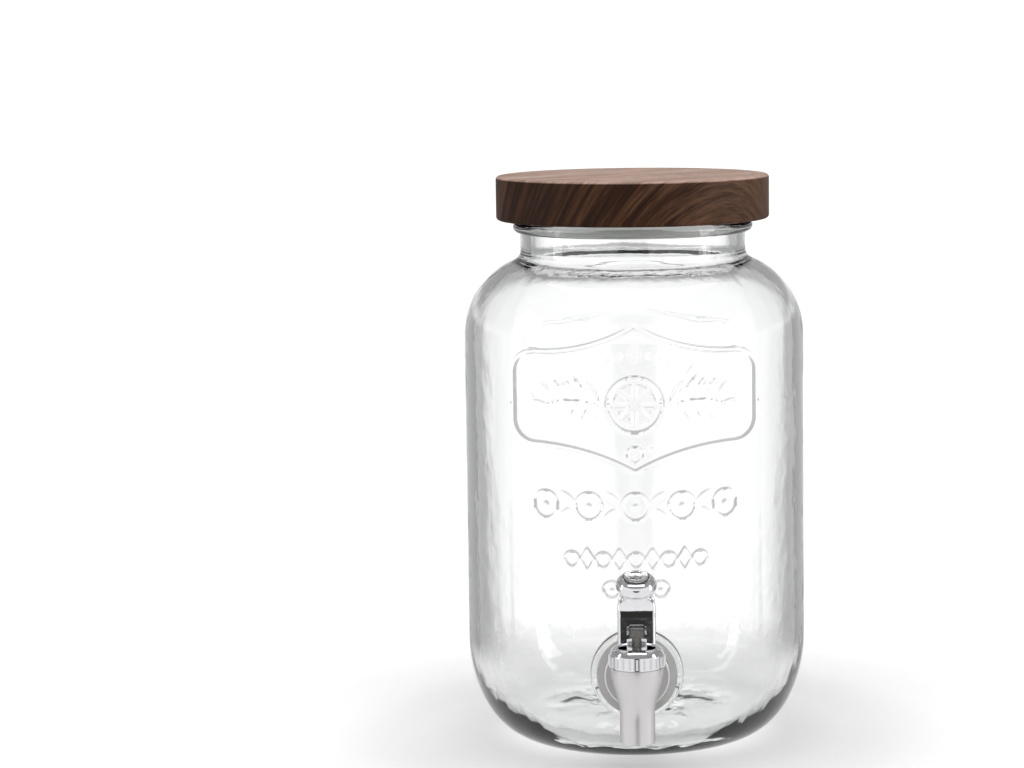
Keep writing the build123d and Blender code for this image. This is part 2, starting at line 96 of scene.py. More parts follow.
def lathe(name, profile, columns, centre=(0.0, 0.0), crease=32.0):
    """A closed solid of revolution about an upright axis.

    The profile is a list of (radius, height) from the lower pole round the outside to the upper
    pole; each point turns into (cx + r sin t, cy - r cos t, h), with one value of t per column.
    """
    profile = np.array(profile, float)
    turn = np.linspace(0, 2 * np.pi, columns, endpoint=False)
    body = profile[1:-1]
    x = centre[0] + body[:, :1] * np.sin(turn)
    y = centre[1] - body[:, :1] * np.cos(turn)
    z = np.repeat(body[:, 1:], columns, axis=1)
    points = np.stack([x, y, z], axis=-1).reshape(-1, 3)
    numbers = np.arange(len(points)).reshape(len(body), columns)
    poles = [(*centre, profile[0, 1]), (*centre, profile[-1, 1])]
    faces = capped_faces(numbers, len(points), len(points) + 1)
    return mesh_object(name, np.vstack([points, poles]), faces, crease)


def arc(centre, radius, start, end, steps):
    """Points on a circle, or on an ellipse when radius is a pair, from start to end degrees."""
    rx, ry = radius if isinstance(radius, tuple) else (radius, radius)
    turn = np.radians(np.linspace(start, end, steps))
    return list(zip(centre[0] + rx * np.cos(turn), centre[1] + ry * np.sin(turn)))


# %% [markdown]
# Shader maths reads best as ordinary arithmetic. This class wraps one output of a node; adding,
# subtracting or multiplying two of them places the Math node that does it. Anything that isn't
# arithmetic comes from one method, which takes a node's type, its settings and what goes into it.

# %% Arithmetic on shader values
class Value:
    """One output of a node in a material, with the usual operators."""

    def __init__(self, paint, socket):
        self.paint = paint
        self.socket = socket

    def math(self, operation, *others):
        entries = {index: entry for index, entry in enumerate((self, *others))}
        return self.paint.node("ShaderNodeMath", {"operation": operation}, entries)

    def __add__(self, other):
        return self.math("ADD", other)

    def __sub__(self, other):
        return self.math("SUBTRACT", other)

    def __mul__(self, other):
        return self.math("MULTIPLY", other)

    def clamp(self):
        return self.math("MAXIMUM", 0.0).math("MINIMUM", 1.0)


class Paint:
    """A material, or the surroundings, under construction."""

    def __init__(self, name, library=bpy.data.materials):
        self.material = library.new(name)
        self.material.use_nodes = True
        self.tree = self.material.node_tree
        self.tree.nodes.clear()

    def node(self, kind, settings=None, entries=None, output=0):
        """Adds a node, sets it up, fills its sockets and returns one of its outputs."""
        made = self.tree.nodes.new(kind)
        for key, setting in (settings or {}).items():
            if key == "stops":
                fill_ramp(made.color_ramp, setting)
            else:
                setattr(made, key, setting)
        for key, entry in (entries or {}).items():
            if isinstance(entry, Value):
                self.tree.links.new(entry.socket, made.inputs[key])
            else:
                made.inputs[key].default_value = entry
        return Value(self, made.outputs[output]) if made.outputs else None

    def place(self, scale=(1, 1, 1)):
        """The point on the object, in metres, stretched by scale."""
        spot = self.node("ShaderNodeTexCoord", output="Object")
        return self.node("ShaderNodeMapping", {}, {"Vector": spot, "Scale": scale})

    def axis(self, spot, letter):
        """One coordinate of a point."""
        return self.node("ShaderNodeSeparateXYZ", {}, {0: spot}, output=letter)

    def noise(self, where, scale, detail=3.0, roughness=0.55, distortion=0.0):
        entries = {
            "Vector": where,
            "Scale": scale,
            "Detail": detail,
            "Roughness": roughness,
            "Distortion": distortion,
        }
        return self.node("ShaderNodeTexNoise", {}, entries)

    def ramp(self, value, stops, output="Color"):
        return self.node("ShaderNodeValToRGB", {"stops": stops}, {"Fac": value}, output)

    def blend(self, amount, one, other):
        """Mixes two colours."""
        entries = {0: amount, 6: one, 7: other}
        return self.node("ShaderNodeMix", {"data_type": "RGBA"}, entries, output=2)

    def bump(self, height, distance, strength=1.0):
        entries = {"Height": height, "Distance": distance, "Strength": strength}
        return self.node("ShaderNodeBump", {}, entries)

    def finish(self, **entries):
        """Closes the material with a Principled shader; a name's underscores stand for spaces."""
        named = {key.replace("_", " "): entry for key, entry in entries.items()}
        shader = self.node("ShaderNodeBsdfPrincipled", {}, named)
        self.node("ShaderNodeOutputMaterial", {}, {"Surface": shader})
        return self.material


def fill_ramp(ramp, stops):
    """Gives a colour ramp its stops, each a place from 0 to 1 and a colour or a grey."""
    while len(ramp.elements) < len(stops):
        ramp.elements.new(0.5)
    for element, (place, colour) in zip(ramp.elements, stops):
        element.position = place
        shade = (colour, colour, colour) if isinstance(colour, (int, float)) else colour
        element.color = (*shade[:3], 1.0)


# %% [markdown]
# The camera comes first, so that every later step can be judged in its picture. It stands about
# 1.35 m in front of the tap and a little above the lid, with a long lens, and it is rolled by half
# a degree. The shift slides the object to the right of the frame without turning the camera.

# %% Camera
camera_distance, camera_height = 1.346, 0.337
camera_dip, camera_roll = 7.83, 0.57
lens = bpy.data.cameras.new("camera")
lens.lens = 100.8
lens.sensor_width = 36.0
lens.shift_x = -0.1159
lens.shift_y = 0.03
camera = bpy.data.objects.new("camera", lens)
bpy.context.scene.collection.objects.link(camera)
camera.location = (0.0, -camera_distance, camera_height)
camera.rotation_mode = "XYZ"
camera.rotation_euler = (math.radians(90 - camera_dip), math.radians(camera_roll), 0.0)
bpy.context.scene.camera = camera
bpy.context.scene.view_settings.view_transform = "Standard"

# %% [markdown]
# Clear glass shows nothing of its own: it shows the room, bent. In an all-white room it vanishes,
# so the studio has a white card behind the jar, grey beside it and overhead, and one narrow black
# gap behind the camera for the chrome. The camera itself sees plain white beyond the floor. That
# keeps the background clean while glass and chrome still find some dark to draw their edges with.

# %% Studio surroundings
def studio_world():
    """Greys by direction: front runs from 0 behind the jar to 1 behind the camera, rise from 0
    underfoot to 1 overhead, with the horizon at 0.5. Each ramp lists (place, grey).
    """
    surroundings = Paint("studio", bpy.data.worlds)
    spot = surroundings.node("ShaderNodeTexCoord", output="Generated")
    front = surroundings.axis(spot, "Y") * -0.5 + 0.5
    rise = surroundings.axis(spot, "Z") * 0.5 + 0.5
    # low down: a white card behind, grey beside it, and white again from the sides forward
    card = [(0.012, 1.0), (0.022, 0.48), (0.10, 0.34), (0.20, 0.24), (0.36, 0.40), (0.40, 0.85)]
    around = surroundings.ramp(front, card)
    # higher up: grey behind the jar, a white wall in front of it, and dark straight overhead
    overhead = [(0.92, 0.38), (0.97, 0.10)]
    behind = surroundings.ramp(rise, [(0.53, 0.80), (0.57, 0.36), (0.75, 0.28), *overhead])
    ahead = surroundings.ramp(rise, [(0.53, 0.92), (0.73, 0.85), (0.78, 0.25), *overhead])
    facing = surroundings.ramp(front, [(0.45, 0.0), (0.60, 1.0)])
    upper = surroundings.blend(facing, behind, ahead)
    height = surroundings.ramp(rise, [(0.518, 0.0), (0.535, 1.0)])
    lit = surroundings.blend(height, around, upper)
    # the black gap behind the camera
    gap = surroundings.ramp(front, [(0.974, 0.0), (0.984, 1.0)])
    low = surroundings.ramp(rise, [(0.36, 0.0), (0.375, 1.0), (0.533, 1.0), (0.539, 0.0)])
    lit = surroundings.blend(gap * low, lit, (0.03, 0.03, 0.03, 1.0))
    seen = surroundings.node("ShaderNodeLightPath", output="Is Camera Ray")
    colour = surroundings.blend(seen, lit, (1.0, 1.0, 1.0, 1.0))
    glow = surroundings.node("ShaderNodeBackground", {}, {"Color": colour, "Strength": 1.1})
    surroundings.node("ShaderNodeOutputWorld", {}, {"Surface": glow})
    bpy.context.scene.world = surroundings.material


def soft_box(name, place, aim, size, power):
    """A rectangular lamp at place, facing aim, size metres wide and high."""
    lamp = bpy.data.lights.new(name, "AREA")
    lamp.shape = "RECTANGLE"
    lamp.size, lamp.size_y = size
    lamp.energy = power
    box = bpy.data.objects.new(name, lamp)
    bpy.context.scene.collection.objects.link(box)
    box.location = place
    way = np.array(place) - np.array(aim)
    flat = math.hypot(way[0], way[1])
    box.rotation_euler = (math.atan2(flat, way[2]), 0.0, math.atan2(way[0], -way[1]))
    box.visible_camera = False
    return box


studio_world()
middle = (0.0, 0.0, 0.14)
soft_box("top_box", (0.0, -0.55, 1.35), middle, (1.5, 0.36), 10.0)
soft_box("right_box", (1.25, -0.25, 0.4), middle, (0.22, 0.95), 2.6)
soft_box("left_box", (-1.25, -0.15, 0.45), middle, (0.16, 0.95), 1.6)
floor_box = soft_box("floor_box", (0.0, 0.5, 2.2), (0.0, 0.1, 0.0), (2.2, 2.2), 17.0)
floor_box.visible_glossy = False
soft_box("knob_box", (0.0, 0.97, 1.27), (0.0, -0.1, 0.09), (0.5, 0.4), 2.0)

# %% Floor
def floor_disc(radius, rings, columns):
    """A round floor: points r (sin t, -cos t, 0), with a single vertex in the middle."""
    turn = np.linspace(0, 2 * np.pi, columns, endpoint=False)
    reach = np.linspace(radius / rings, radius, rings)[::-1, None]
    points = np.stack([reach * np.sin(turn), -reach * np.cos(turn), 0 * reach * turn], axis=-1)
    numbers = np.arange(rings * columns).reshape(rings, columns)
    centre = rings * columns
    faces = ring_quads(numbers).reshape(-1, 4).tolist() + fan(numbers[-1], centre).tolist()
    points = np.vstack([points.reshape(-1, 3), [(0, 0, 0)]])
    return mesh_object("floor", points / MM, faces)


floor = floor_disc(0.26, 8, 96)
floor.location.z = -0.0002


def floor_paint():
    """Pale, with a painted contact shadow: a soft grey ring round the jar's base, darker under it.

    The glass jar casts no shadow of its own, so this painted shade stands in for it.
    """
    paint = Paint("pale floor")
    speckle = paint.noise(paint.place(), 900.0, 2.0)
    away = paint.node("ShaderNodeVectorMath", {"operation": "LENGTH"}, {0: paint.place()}, output=1)
    # painted contact shadow: grey by distance from the jar's axis, darkest near the base's edge
    shade = [(0.045, 0.66), (0.072, 0.60), (0.10, 0.74), (0.15, 0.88)]
    return paint.finish(
        Base_Color=paint.ramp(away, shade),
        Roughness=speckle * 0.2 + 0.5,
        Alpha=paint.ramp(away, [(0.12, 1.0), (0.24, 0.0)]),
    )


floor.data.materials.append(floor_paint())

# %% [markdown]
# The jar is one closed surface. Its profile starts under the middle of the base, runs over the
# standing ring, up the heel, wall, shoulder and neck, rolls over the bead at the rim and comes back
# down inside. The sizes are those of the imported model: the wall's radius, the rim's height and the
# tap's place are read from it, and the rest are its own named sizes in millimetres.

# %% Sizes of the jar
body_radius = jar_high.x / MM
rim_height = jar_high.z / MM
wall = 4.5
floor_thickness = 8.5
heel = (30.0, 48.0)
shoulder_radius = 38.0
neck_height = 53.7
shoulder_start = rim_height - neck_height
shoulder_core = body_radius - shoulder_radius
foot_radius = body_radius - heel[0]
neck_radius = 53.0
neck_fillet = 5.0
mouth_radius = neck_radius - wall
bead_height, bead_proud = 5.6, 3.4
tap_height = (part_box("outer_washer")[0].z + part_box("outer_washer")[1].z) / 2 / MM
pad_face = -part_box("outer_washer")[1].y / MM
inner_seat = -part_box("inner_washer")[0].y / MM
pad_radius, pad_round = 21.0, 1.2
inner_pad_radius = 16.5
hole_radius = 8.6
print(f"wall radius {body_radius:.1f}, rim {rim_height:.1f}")
print(f"tap {tap_height:.1f} above the floor, its pad {pad_face:.1f} from the axis")


def outside_radius(height):
    """Radius of the outer wall at a height: an ellipse below, straight, then a circle above."""
    low = np.clip(1 - height / heel[1], 0, 1)
    high = np.clip(height - shoulder_start, 0, shoulder_radius)
    lower = foot_radius + heel[0] * np.sqrt(1 - low**2)
    upper = shoulder_core + np.sqrt(shoulder_radius**2 - high**2)
    return np.where(height < heel[1], lower, np.where(height > shoulder_start, upper, body_radius))


def inside_radius(height):
    """The same for the inner wall."""
    low = np.clip((heel[1] - height) / (heel[1] - floor_thickness), 0, 1)
    high = np.clip(height - shoulder_start, 0, shoulder_radius - wall)
    lower = foot_radius + (heel[0] - wall) * np.sqrt(1 - low**2)
    upper = shoulder_core + np.sqrt((shoulder_radius - wall) ** 2 - high**2)
    straight = body_radius - wall
    return np.where(height < heel[1], lower, np.where(height > shoulder_start, upper, straight))


# %% [markdown]
# The rows and columns of the grid aren't evenly spaced. They are close where the glass carries
# raised ornament, and wide on the plain sides. Around the tap a square of the grid is bent into
# rings, so that the edge of the round pad and of the hole each follow one grid line exactly.

# %% Rows and columns of the jar's grid
in_the_hole = [2.15, 4.3, 6.45, hole_radius]
on_the_pad = [12.0, inner_pad_radius, 16.54, 18.6, 19.8, 20.2, 20.6, 20.86, pad_radius]
beyond_the_pad = [21.04, 21.7, 22.8, 24.2, 26.0, 28.0, 30.0]
ring_lines = np.array([*in_the_hole, *on_the_pad, *beyond_the_pad])
round_reach, patch = 22.0, ring_lines[-1]
patch_lines = np.concatenate([-ring_lines[::-1], [0.0], ring_lines])
relief_bottom, relief_top, relief_step = 76.0, 205.5, 0.72


def fill_between(lines, step):
    """Adds evenly spaced lines wherever two neighbours are further apart than step."""
    parts = []
    for a, b in zip(lines, lines[1:]):
        parts.append(np.linspace(a, b, max(1, math.ceil((b - a) / step)), endpoint=False))
    return np.concatenate([*parts, lines[-1:]])


def column_angles():
    """Angles of the columns, 0 at the tap: fine in front, medium behind, wide at the sides."""
    front = fill_between(np.concatenate([[-58.0], patch_lines, [58.0]]), 0.74)
    front = np.arcsin(np.clip(front / body_radius, -1, 1))
    side = np.linspace(front[-1], math.radians(128), 14)[1:]
    back = np.linspace(math.radians(128), math.radians(232), 112)[1:]
    other = 2 * np.pi - side[::-1][1:]
    return np.concatenate([front, side, back, other])


angles = column_angles()
patch_heights = tap_height + patch_lines
print(f"{len(angles)} columns, {len(patch_heights)} rows around the tap")

# %% Profile of the jar, row by row
heel_turn = math.degrees(math.acos(1 - patch_heights[0] / heel[1]))
inner_turn = math.degrees(math.acos((heel[1] - patch_heights[0]) / (heel[1] - floor_thickness)))
fillet_side = neck_radius + neck_fillet - shoulder_core
fillet_turn = math.degrees(math.acos(fillet_side / (shoulder_radius + neck_fillet)))
fillet_rise = (shoulder_radius + neck_fillet) * math.sin(math.radians(fillet_turn))
fillet_height = shoulder_start + fillet_rise
relief_turn = math.degrees(math.asin((relief_top - shoulder_start) / shoulder_radius))
bead_radius = ((bead_height / 2) ** 2 + bead_proud**2) / (2 * bead_proud)
bead_centre = (neck_radius + bead_proud - bead_radius, rim_height - bead_height / 2)
bead_turn = 180 - math.degrees(math.asin(bead_height / 2 / bead_radius))
inner_fillet = 6.0
inner_side = mouth_radius + inner_fillet - shoulder_core
inner_reach = shoulder_radius - wall + inner_fillet
mouth_turn = math.degrees(math.acos(inner_side / inner_reach))
inner_throat_height = shoulder_start + inner_reach * math.sin(math.radians(mouth_turn))

punt = [(r, 1.6 * (1 - (r / 43) ** 4)) for r in (0, 7, 14, 21, 28, 34, 39)]
standing = [(42.5, 0.12), (44.5, 0.0), (48.0, 0.0)]
lower_heel = arc((foot_radius, heel[1]), heel, 270, 270 + heel_turn, 12)[:-1]
around_tap = list(zip(outside_radius(patch_heights), patch_heights))
relief_heights = np.arange(relief_bottom, relief_top, relief_step)
ornament = list(zip(outside_radius(relief_heights), relief_heights))
shoulder = arc((shoulder_core, shoulder_start), shoulder_radius, relief_turn, fillet_turn, 18)
throat = arc((neck_radius + neck_fillet, fillet_height), neck_fillet, 180 + fillet_turn, 180, 8)[1:]
neck = [(neck_radius, fillet_height + 3.5), (neck_radius, rim_height - bead_height - 0.5)]
bead = arc(bead_centre, bead_radius, -bead_turn, bead_turn, 15)
lip = [(51.5, rim_height)] + arc((mouth_radius + 1, rim_height - 1), 1.0, 90, 180, 5)
mouth = [(mouth_radius, h) for h in (240.0, 236.0, 232.0)]
inner_throat = (mouth_radius + inner_fillet, inner_throat_height)
mouth += arc(inner_throat, inner_fillet, 180, 180 + mouth_turn, 9)[:-1]
inner_shoulder = arc((shoulder_core, shoulder_start), shoulder_radius - wall, mouth_turn, 0, 18)
inner_heights = np.linspace(shoulder_start, patch_heights[-1], 14)[1:-1]
inner_wall = [(body_radius - wall, h) for h in inner_heights]
inner_patch = list(zip(inside_radius(patch_heights[::-1]), patch_heights[::-1]))
inner_axes = (heel[0] - wall, heel[1] - floor_thickness)
inner_heel = arc((foot_radius, heel[1]), inner_axes, 270 + inner_turn, 270, 10)[1:]
inner_floor = [(r, floor_thickness) for r in (46, 42, 38, 34, 30, 26, 22, 18, 14, 10, 6, 3, 0)]

sections = [punt, standing, lower_heel, around_tap, ornament, shoulder, throat, neck, bead, lip]
sections += [mouth, inner_shoulder, inner_wall, inner_patch, inner_heel, inner_floor]
profile = np.array([point for section in sections for point in section])
starts = np.cumsum([0] + [len(section) for section in sections])
tap_rows = slice(starts[3], starts[4])
ornament_rows = slice(starts[4], starts[5])
inner_start = starts[10]
inner_tap_rows = slice(starts[13], starts[14])
print(f"{len(profile)} rows, {2 * len(profile) * len(angles)} triangles")

# %% [markdown]
# The ornament is pressed into the glass, so it belongs to the mesh and not to the material. Each
# motif is a distance: how far a point is from a curve, a circle or a leaf. A ridge turns distance
# into height with the smooth hump (1 - (d/w)^2)^2. The motifs are made up for this jar: a slice of
# lemon between two sprigs inside the shield, and garlands of rings, lozenges and leaves under it.

# %% Ornament as distances
def ridge(distance, width, height):
    """A smooth hump over a line: height (1 - (d/width)^2)^2 within the width, else nothing."""
    return height * np.clip(1 - (distance / width) ** 2, 0, None) ** 2


def shield_distance(x, z):
    """Distance to the shield's outline, worked out in one quarter because all four are alike.

    The top is an arc that is level at the corner and rises to a point in the middle; the corner is
    a quarter circle and the side is straight.
    """
    half_width, half_lobe, rise, corner = 54.9, 20.9, 12.0, 10.0
    x, z = np.abs(x), np.abs(z)
    reach = half_width - corner
    bracket = (reach**2 + rise**2) / (2 * rise)
    top = np.abs(np.hypot(x - reach, z - half_lobe - bracket) - bracket)
    turn = np.abs(np.hypot(x - reach, z - half_lobe + corner) - corner)
    side = np.abs(x - half_width)
    return np.where(x < reach, top, np.where(z > half_lobe - corner, turn, side))


def leaf(x, z, at, length, width, tilt, height=0.55):
    """A raised leaf: an ellipse pulled to a point, with a shallow groove along its middle."""
    c, s = math.cos(math.radians(tilt)), math.sin(math.radians(tilt))
    u = ((x - at[0]) * c + (z - at[1]) * s) / length
    v = (-(x - at[0]) * s + (z - at[1]) * c) / width
    inside = np.clip(1 - u**2 - np.abs(v) ** 1.4, 0, 1)
    groove = ridge(v * width, 0.45, 0.35) * (inside > 0)
    return height * inside**0.5 - groove * inside**0.5


def ring(x, z, at, radius, width=0.95, height=0.6):
    return ridge(np.abs(np.hypot(x - at[0], z - at[1]) - radius), width, height)


def bead_dot(x, z, at, radius, height=0.6):
    return ridge(np.hypot(x - at[0], z - at[1]), radius, height)


def lozenge(x, z, at, size, width=0.9, height=0.55):
    span = np.abs(x - at[0]) / size[0] + np.abs(z - at[1]) / size[1]
    return ridge(np.abs(span - 1) * min(size) * 0.8, width, height)


def lemon_slice(x, z, at, radius):
    """Rind, pith and eight segments: the segments stand where |sin 4t| is large."""
    reach = np.hypot(x - at[0], z - at[1])
    turn = np.arctan2(z - at[1], x - at[0])
    rind = ring(x, z, at, radius, 1.2, 0.75)
    gap = np.abs(np.sin(4 * turn)) * reach / 4 - 0.45
    flesh = np.clip(gap / 0.7, 0, 1) * np.clip((radius - 2.6 - reach) / 0.8, 0, 1)
    return rind + 0.5 * flesh * np.clip((reach - 1.2) / 0.8, 0, 1)


def sprig(x, z, side, at):
    """A curved twig with leaves in pairs, mirrored by side."""
    x = x * side
    path = at[1] + 3.0 * np.sin((x - at[0]) / 9.0)
    twig = ridge(np.abs(z - path), 0.8, 0.5) * ((x > at[0]) & (x < at[0] + 27))
    height = twig
    for step, size in enumerate((6.4, 6.2, 5.8, 5.2, 4.4)):
        where = at[0] + 2.5 + 5.6 * step
        base = at[1] + 3.0 * math.sin((where - at[0]) / 9.0)
        height = np.maximum(height, leaf(x, z, (where + 2.6, base + 5.6), size, 2.3, 58))
        height = np.maximum(height, leaf(x, z, (where + 2.6, base - 5.6), size, 2.3, -58))
    end = (at[0] + 31.0, at[1] + 3.0 * math.sin(27 / 9.0))
    return np.maximum(height, leaf(x, z, end, 5.6, 2.1, 8))


# %% Front and back relief
shield_middle = 169.5
slice_height, sprig_height = 167.0, 166.0
garland_height, lozenge_height, low_ring_height = 121.0, 96.6, 83.0


def front_relief(x, across, z):
    """Everything that stands out of the front; x is straight across and across follows the wall."""
    height = ridge(shield_distance(x, z - shield_middle), 1.7, 0.7)
    height += lemon_slice(across, z, (0.0, slice_height), 12.5)
    height += sum(sprig(across, z, side, (14.5, sprig_height)) for side in (1, -1))
    for step in range(-5, 6):
        at = (step * 6.6, 190.0 - 0.011 * (step * 6.6) ** 2 - 0.08 * abs(step * 6.6))
        height += bead_dot(across, z, at, 1.9) if step % 2 else lozenge(across, z, at, (2.6, 3.4))
    height += ring(across, z, (0.0, 144.6), 3.6, 0.8) + bead_dot(across, z, (7.4, 147.0), 1.5)
    for step in range(-4, 5):
        at = (step * 10.6, garland_height)
        if step % 2:
            tilt = 35 if step > 0 else -35
            height += leaf(across, z, (at[0], at[1] + 3.6), 5.4, 2.6, tilt)
            height += leaf(across, z, (at[0], at[1] - 3.6), 5.4, 2.6, -tilt)
        else:
            height += ring(across, z, at, 6.2) + bead_dot(across, z, at, 2.4)
    for step in range(-4, 5):
        at = (step * 7.4, lozenge_height)
        height += lozenge(across, z, at, (3.2, 5.2)) if step % 2 else ring(across, z, at, 3.4)
    for side in (-1, 1):
        at = (side * 11.0, low_ring_height)
        height += ring(across, z, at, 3.8) + bead_dot(across, z, at, 1.4)
    return height * 0.8


def back_relief(x, z):
    """The back carries only the shield."""
    return ridge(shield_distance(x, z - shield_middle), 1.8, 0.5)


# %% [markdown]
# Pressed glass is never quite flat. A handful of slow sine waves in different directions, added
# together, gives the gentle unevenness of the walls, and a stronger helping inside the base gives
# the rippled floor that such jars have.

# %% Unevenness of the glass
wave_ways = np.random.default_rng(11).normal(size=(9, 3))
wave_starts = np.random.default_rng(12).uniform(0, 2 * np.pi, 9)


def unevenness(points, length):
    """The mean of nine sine waves, each about length millimetres long, at every point."""
    ways = wave_ways / np.linalg.norm(wave_ways, axis=1, keepdims=True) * (2 * np.pi / length)
    return np.sin(points @ ways.T + wave_starts).mean(axis=-1)


# %% The jar's surface
def bend_patch(rows, radius_at):
    """Bends the square of the grid around the tap into rings.

    m = max(|u|, |v|) names the square ring a point is on; (u, v) m / hypot(u, v) puts it on the
    circle of radius m. Beyond round_reach, the rings turn back into squares.
    """
    u = (body_radius * np.sin(angles))[None, :] * np.ones((len(rows), 1))
    v = (rows - tap_height)[:, None] * np.ones((1, len(angles)))
    near = (np.abs(u) < patch + 1e-6) & (np.cos(angles)[None, :] > 0)
    m = np.maximum(np.abs(u), np.abs(v))
    stretch = m / np.maximum(np.hypot(u, v), 1e-9)
    way = np.clip((m - round_reach) / (patch - round_reach), 0, 1)
    way = way * way * (3 - 2 * way)
    plain_x = radius_at(rows)[:, None] * np.sin(angles)[None, :]
    x = (1 - way) * u * stretch + way * plain_x
    z = (1 - way) * (tap_height + v * stretch) + way * rows[:, None]
    y = -np.sqrt(np.maximum(radius_at(z) ** 2 - x**2, 1.0))
    return near, m, x, y, z


def jar_points():
    """All points of the jar, rows along the profile and columns around it."""
    radius, height = profile[:, :1], profile[:, 1:]
    x = radius * np.sin(angles)
    y = -radius * np.cos(angles)
    z = height * np.ones_like(x)
    points = np.stack([x, y, z], axis=-1)
    # outer patch with the raised pad
    near, m, px, py, pz = bend_patch(profile[tap_rows, 1], outside_radius)
    over = np.clip(m - pad_radius + pad_round, 0, pad_round)
    drop = pad_round - np.sqrt(np.clip(pad_round**2 - over**2, 0, None))
    pad = np.minimum(-pad_face + drop, py - 0.05)
    py = np.where(m <= pad_radius + 1e-6, pad, py)
    patch_points = np.stack([px, py, pz], axis=-1)
    points[tap_rows] = np.where(near[..., None], patch_points, points[tap_rows])
    # inner patch with the flat seat
    near, m, px, py, pz = bend_patch(profile[inner_tap_rows, 1], inside_radius)
    py = np.where(m <= inner_pad_radius + 1e-6, -inner_seat, py)
    patch_points = np.stack([px, py, pz], axis=-1)
    points[inner_tap_rows] = np.where(near[..., None], patch_points, points[inner_tap_rows])
    return points


def press_ornament(points):
    """Moves the ornament rows out along the profile's own normal by the relief's height."""
    rows = profile[ornament_rows]
    lean = np.clip(rows[:, 1] - shoulder_start, 0, None) / shoulder_radius
    outward, upward = np.sqrt(1 - lean**2)[:, None], lean[:, None]
    z = rows[:, 1:] * np.ones((1, len(angles)))
    signed = (angles + np.pi) % (2 * np.pi) - np.pi
    across = body_radius * signed[None, :] * np.ones_like(z)
    x = body_radius * np.sin(angles)[None, :] * np.ones_like(z)
    front = np.cos(angles)[None, :] > 0
    lift = np.where(front, front_relief(x, across, z), back_relief(x, z))
    points[ornament_rows, :, 0] += lift * outward * np.sin(angles)
    points[ornament_rows, :, 1] -= lift * outward * np.cos(angles)
    points[ornament_rows, :, 2] += lift * upward
    print(f"highest ornament {lift.max():.2f} mm")


def away_from_axis(points):
    """How far points are from the jar's axis, and the level direction away from it."""
    flat = points * (1.0, 1.0, 0.0)
    reach = np.linalg.norm(flat, axis=-1)
    return reach, flat / np.maximum(reach, 1e-9)[..., None]


def make_uneven(points):
    """Adds waves: faint outside, stronger inside, strongest on the inner floor.

    The pad and the seat that the tap is clamped between stay flat, and so do the standing ring
    and the rim.
    """
    outside = points[3 : starts[8]]
    outward = away_from_axis(outside)[1]
    from_tap = np.hypot(outside[..., 0], outside[..., 2] - tap_height)
    free = np.where((from_tap < patch) & (outside[..., 1] < 0), 0, 1)
    outside += outward * (0.07 * unevenness(outside, 46.0) * free)[..., None]

    inside = points[inner_start + 8 :]
    from_axis, outward = away_from_axis(inside)
    from_tap = np.hypot(inside[..., 0], inside[..., 2] - tap_height)
    free = np.where(inside[..., 1] < 0, np.clip((from_tap - 17) / 8, 0, 1), 1)
    free = free * np.clip(from_axis**2 / 100, 0, 1)
    depth = np.clip((60 - inside[..., 2]) / 45, 0, 1) ** 1.5
    ripple = 0.2 * unevenness(inside, 52.0) + 0.3 * depth * unevenness(inside, 15.0)
    inside += outward * (ripple * free)[..., None]
    on_floor = np.clip((62 - from_axis) / 20, 0, 1) * (inside[..., 2] < 30)
    swell = 1.0 * unevenness(inside, 24.0) + 0.7 * unevenness(inside, 9.0)
    inside[..., 2] += on_floor * swell


# %% Faces of the jar and the wall of its hole
def hole_loop(numbers, heights):
    """The square ring that became the hole's edge: vertex numbers in order, rows and columns."""
    u = body_radius * np.sin(angles)
    columns = np.where((np.abs(u) < hole_radius + 1e-6) & (np.cos(angles) > 0))[0]
    rows = np.where(np.abs(heights - tap_height) < hole_radius + 1e-6)[0]
    rows = rows[np.argsort(heights[rows])]
    grid = numbers[np.ix_(rows, columns)]
    edge = [grid[0, :-1], grid[:-1, -1], grid[-1, :0:-1], grid[:0:-1, 0]]
    return np.concatenate(edge), rows, columns


def build_jar():
    """Presses and roughens the grid, leaves out the hole's quads and joins the hole's two edges."""
    points = jar_points()
    press_ornament(points)
    make_uneven(points)
    rows, columns = points.shape[:2]
    numbers = np.arange(rows * columns).reshape(rows, columns)
    outer, outer_rows, hole_columns = hole_loop(numbers[tap_rows], profile[tap_rows, 1])
    inner, inner_rows, _ = hole_loop(numbers[inner_tap_rows], profile[inner_tap_rows, 1])
    quads = ring_quads(numbers[1:-1])
    keep = np.ones(quads.shape[:2], bool)
    for first, hole_rows in ((tap_rows.start, outer_rows), (inner_tap_rows.start, inner_rows)):
        top, bottom = first + hole_rows.min() - 1, first + hole_rows.max() - 1
        keep[top:bottom, hole_columns.min() : hole_columns.max()] = False
    hole_wall = np.stack([outer, np.roll(outer, -1), np.roll(inner, -1), inner], axis=-1)
    quads = np.vstack([quads[keep], hole_wall[:, ::-1]])
    flat = points.reshape(-1, 3)
    poles = [(0, 0, profile[0, 1]), (0, 0, points[-1, 0, 2])]
    fans = np.vstack([fan(numbers[1, ::-1], len(flat)), fan(numbers[-2], len(flat) + 1)])
    flat = np.vstack([flat, poles])
    used = np.zeros(len(flat), bool)
    used[quads] = True
    used[fans] = True
    renumber = np.cumsum(used) - 1
    faces = renumber[quads].tolist() + renumber[fans].tolist()
    return mesh_object("jar_glass", flat[used], faces, 40.0)


jar = build_jar()
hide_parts("glass_jar")
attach(jar, "jar")


# %% [markdown]
# Soda-lime glass has no colour in a thin sheet and a grey-green one in a thick lump. The surface is
# a plain refracting shader, and the green comes from the body of the glass, which swallows a little
# more red than green for every millimetre of the way through.

